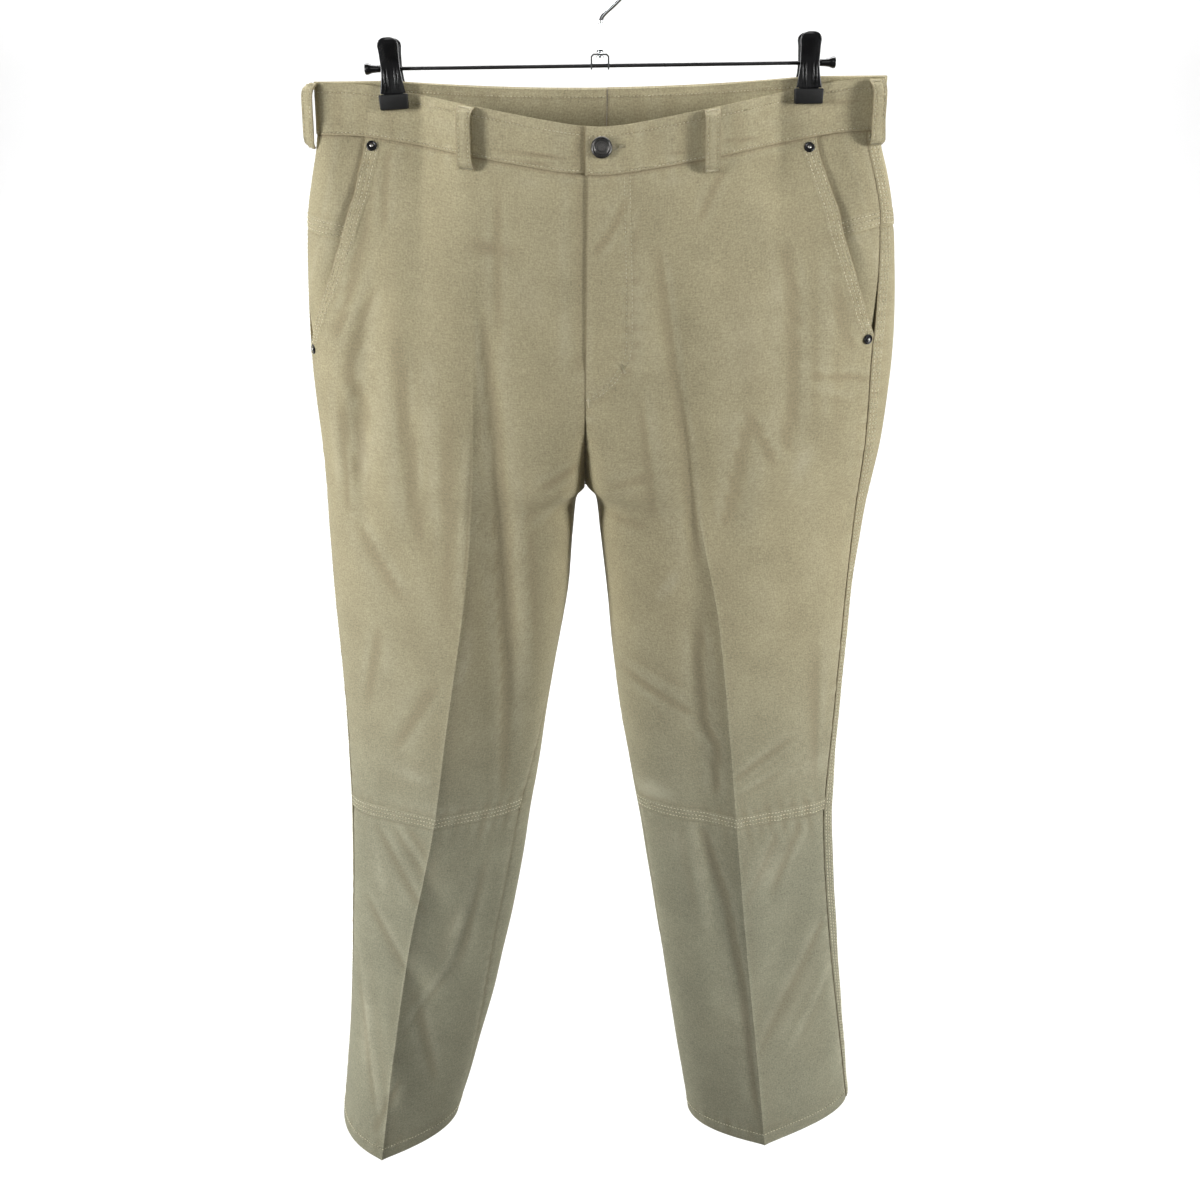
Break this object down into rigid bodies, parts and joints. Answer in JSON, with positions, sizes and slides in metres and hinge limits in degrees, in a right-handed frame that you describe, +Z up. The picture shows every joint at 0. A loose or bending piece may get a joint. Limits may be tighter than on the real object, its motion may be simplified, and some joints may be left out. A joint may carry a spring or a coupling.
{
  "type": "pair of slacks on a clip hanger",
  "caption": "Straight-leg canvas work slacks with belt loops, slant pockets and knee seams, hanging by the waistband from a metal clip hanger",
  "frame": {"origin": "the inner top of the hanger's hook, where it rests on a rail", "axes": "+Z up; the front of the slacks faces -Y; +X is the wearer's left, the viewer's right"},
  "size_m": [0.5358, 0.1519, 1.1485],
  "materials": {
    "canvas": "washed and worn khaki cotton canvas",
    "antique_metal": "dark antique metal, worn bright on its high edges",
    "black_rod": "black coated steel rod",
    "black_plastic": "glossy black plastic",
    "black_rubber": "matt black rubber",
    "chrome": "chromed steel wire and strip"
  },
  "bodies": {
    "root": {"front_upper_r": "canvas", "front_upper_l": "canvas", "front_lower_r": "canvas", "front_lower_l": "canvas", "pocket_facing_upper_r": "canvas", "pocket_facing_upper_l": "canvas", "pocket_facing_lower_r": "canvas", "pocket_facing_lower_l": "canvas", "back_yoke_r": "canvas", "back_yoke_l": "canvas", "back_r": "canvas", "back_l": "canvas", "waistband_r": "canvas", "waistband_l": "canvas", "loop_front_r": "canvas", "loop_front_l": "canvas", "loop_side_r": "canvas", "loop_side_l": "canvas", "loop_back_r": "canvas", "loop_back_l": "canvas", "loop_back_centre": "canvas", "button": "antique_metal", "rivet_top_r": "antique_metal", "rivet_top_l": "antique_metal", "rivet_bottom_r": "antique_metal", "rivet_bottom_l": "antique_metal", "hanger_rod": "black_rod", "rod_cap_r": "black_plastic", "rod_cap_l": "black_plastic", "clip_front_r": "black_plastic", "clip_front_l": "black_plastic", "clip_back_r": "black_plastic", "clip_back_l": "black_plastic", "clip_boot_front_r": "black_rubber", "clip_boot_front_l": "black_rubber", "clip_boot_back_r": "black_rubber", "clip_boot_back_l": "black_rubber", "hook_bracket": "chrome", "hook": "chrome"}
  },
  "joints": []
}
